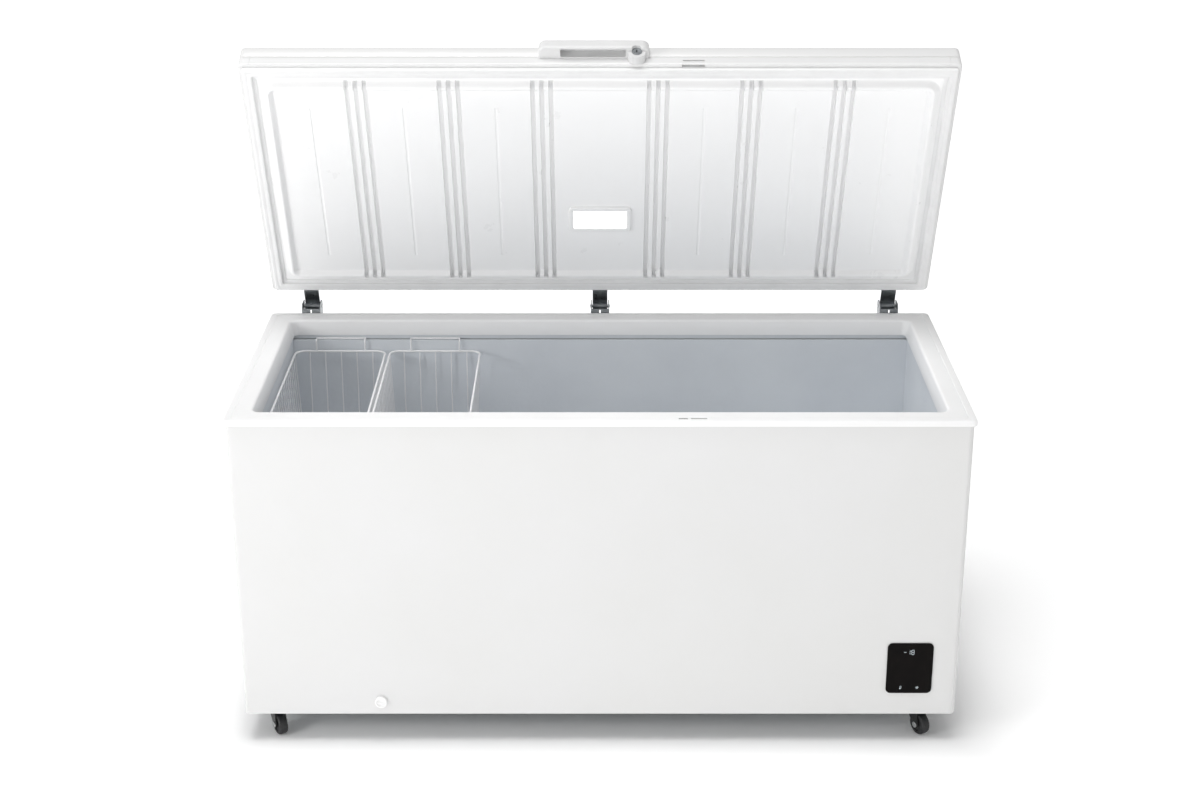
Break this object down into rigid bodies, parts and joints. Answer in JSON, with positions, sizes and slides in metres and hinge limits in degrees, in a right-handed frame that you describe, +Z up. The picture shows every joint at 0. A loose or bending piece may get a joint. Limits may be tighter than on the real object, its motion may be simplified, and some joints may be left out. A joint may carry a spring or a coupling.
{
  "type": "chest freezer",
  "caption": "Long white chest freezer on swivel casters, with a sprung hinged lid, lid lamp, lock, wire baskets, front control glass and drain.",
  "frame": {"origin": "on the floor, in the middle of the footprint that the freezer takes with its lid open", "axes": "+X along the length to the right seen from the front, +Y to the rear, +Z up"},
  "size_m": [1.604, 0.7808, 1.4999],
  "materials": {
    "white_sheet": "gloss",
    "galvanised_sheet": "satin",
    "white_plastic": "satin",
    "lid_panel_plastic": "satin",
    "liner_sheet": "satin",
    "rigid_foam": "matte",
    "seal_rubber": "satin",
    "black_rubber": "matte",
    "hinge_steel": "polished",
    "pin_steel": "satin",
    "spring_steel": "satin",
    "black_steel": "satin",
    "wheel_plastic": "satin",
    "black_glass": "gloss",
    "circuit_board": "matte",
    "lamp_diffuser": "satin",
    "copper_tube": "satin",
    "black_enamel": "satin",
    "grey_plastic": "matte",
    "coated_wire": "gloss"
  },
  "bodies": {
    "cabinet": {"outer_wrap": "white_sheet", "rear_panel": "galvanised_sheet", "machine_cover": "galvanised_sheet", "vent_grille": "white_plastic", "cord_gland": "black_rubber", "base_pan": "galvanised_sheet", "cabinet_foam": "rigid_foam", "inner_liner": "liner_sheet", "bay_partition": "galvanised_sheet", "collar_frame": "white_plastic", "latch_keeper": "grey_plastic", "lid_sensor": "grey_plastic", "control_housing": "white_plastic", "control_glass": "black_glass", "control_board": "circuit_board", "drain_tube": "white_plastic", "evaporator_coil": "copper_tube", "condenser_coil": "copper_tube", "compressor_plate": "galvanised_sheet", "compressor_mounts": "black_rubber", "compressor": "black_enamel", "start_relay": "wheel_plastic", "filter_drier": "copper_tube", "refrigerant_pipes": "copper_tube", "temperature_sensor": "white_plastic", "hinge_bases": "hinge_steel", "hinge_pins": "pin_steel", "hinge_springs": "spring_steel", "caster_plates": "black_steel"},
    "lid": {"hinge_leaves": "hinge_steel", "hinge_screws": "pin_steel", "lid_skin": "white_sheet", "lid_rails": "white_plastic", "lid_corners": "white_plastic", "lid_liner": "lid_panel_plastic", "lid_foam": "rigid_foam", "lid_gasket": "seal_rubber", "lamp_bezel": "white_plastic", "lamp_lens": "lamp_diffuser", "lamp_board": "circuit_board", "lid_handle": "white_plastic"},
    "drain_cap": {"drain_cap": "white_plastic"},
    "inner_drain_plug": {"inner_drain_plug": "white_plastic"},
    "lock_cylinder": {"lock_cylinder": "pin_steel"},
    "lock_link": {"lock_link": "galvanised_sheet"},
    "lock_hook": {"lock_hook": "galvanised_sheet"},
    "basket_left": {"basket_left": "coated_wire"},
    "basket_right": {"basket_right": "coated_wire"},
    "caster_front_left": {"caster_fork_front_left": "black_steel", "caster_axle_front_left": "pin_steel"},
    "wheel_front_left": {"caster_wheel_front_left": "wheel_plastic"},
    "caster_front_right": {"caster_fork_front_right": "black_steel", "caster_axle_front_right": "pin_steel"},
    "wheel_front_right": {"caster_wheel_front_right": "wheel_plastic"},
    "caster_rear_left": {"caster_fork_rear_left": "black_steel", "caster_axle_rear_left": "pin_steel"},
    "wheel_rear_left": {"caster_wheel_rear_left": "wheel_plastic"},
    "caster_rear_right": {"caster_fork_rear_right": "black_steel", "caster_axle_rear_right": "pin_steel"},
    "wheel_rear_right": {"caster_wheel_rear_right": "wheel_plastic"}
  },
  "joints": [
    {"name": "lid_hinge", "type": "hinge", "parent": "cabinet", "child": "lid", "pos_m": [0, 0.3485, 0.789], "axis": [-1, 0, 0], "range_deg": [-65.6, 20], "stiffness_Nm_per_rad": 19, "springref_deg": 39.53},
    {"name": "lock_turn", "type": "hinge", "parent": "lid", "child": "lock_cylinder", "pos_m": [0.081, 0.068, 1.46061], "axis": [0, -0.4131, 0.9107], "range_deg": [0, 90]},
    {"name": "lock_link_slide", "type": "slide", "parent": "lid", "child": "lock_link", "axis": [1, 0, 0], "range_m": [0, 0.008]},
    {"name": "lock_hook_turn", "type": "hinge", "parent": "lid", "child": "lock_hook", "pos_m": [0.188, 0.0704, 1.45533], "axis": [0, 0.4131, -0.9107], "range_deg": [0, 66]},
    {"name": "drain_cap_pull", "type": "slide", "parent": "cabinet", "child": "drain_cap", "axis": [0, -1, 0], "range_m": [0, 0.03]},
    {"name": "inner_plug_pull", "type": "slide", "parent": "cabinet", "child": "inner_drain_plug", "axis": [0, 0, 1], "range_m": [0, 0.04]},
    {"name": "basket_left_lift", "type": "slide", "parent": "cabinet", "child": "basket_left", "axis": [0, 0, 1], "range_m": [0, 0.235]},
    {"name": "basket_right_lift", "type": "slide", "parent": "cabinet", "child": "basket_right", "axis": [0, 0, 1], "range_m": [0, 0.235]},
    {"name": "swivel_front_left", "type": "hinge", "parent": "cabinet", "child": "caster_front_left", "pos_m": [-0.737, -0.325, 0.06], "axis": [0, 0, 1], "continuous": true},
    {"name": "roll_front_left", "type": "hinge", "parent": "caster_front_left", "child": "wheel_front_left", "pos_m": [-0.727, -0.34232, 0.025], "axis": [0.866, 0.5, 0], "continuous": true},
    {"name": "swivel_front_right", "type": "hinge", "parent": "cabinet", "child": "caster_front_right", "pos_m": [0.717, -0.325, 0.06], "axis": [0, 0, 1], "continuous": true},
    {"name": "roll_front_right", "type": "hinge", "parent": "caster_front_right", "child": "wheel_front_right", "pos_m": [0.727, -0.34232, 0.025], "axis": [0.866, 0.5, 0], "continuous": true},
    {"name": "swivel_rear_left", "type": "hinge", "parent": "cabinet", "child": "caster_rear_left", "pos_m": [-0.737, 0.251, 0.06], "axis": [0, 0, 1], "continuous": true},
    {"name": "roll_rear_left", "type": "hinge", "parent": "caster_rear_left", "child": "wheel_rear_left", "pos_m": [-0.727, 0.23368, 0.025], "axis": [0.866, 0.5, 0], "continuous": true},
    {"name": "swivel_rear_right", "type": "hinge", "parent": "cabinet", "child": "caster_rear_right", "pos_m": [0.717, 0.251, 0.06], "axis": [0, 0, 1], "continuous": true},
    {"name": "roll_rear_right", "type": "hinge", "parent": "caster_rear_right", "child": "wheel_rear_right", "pos_m": [0.727, 0.23368, 0.025], "axis": [0.866, 0.5, 0], "continuous": true}
  ],
  "couplings": [
    {"joint": "lock_link_slide", "follows": "lock_turn", "m_per_rad": 0.0050924},
    {"joint": "lock_hook_turn", "follows": "lock_turn", "ratio": 0.73326}
  ]
}
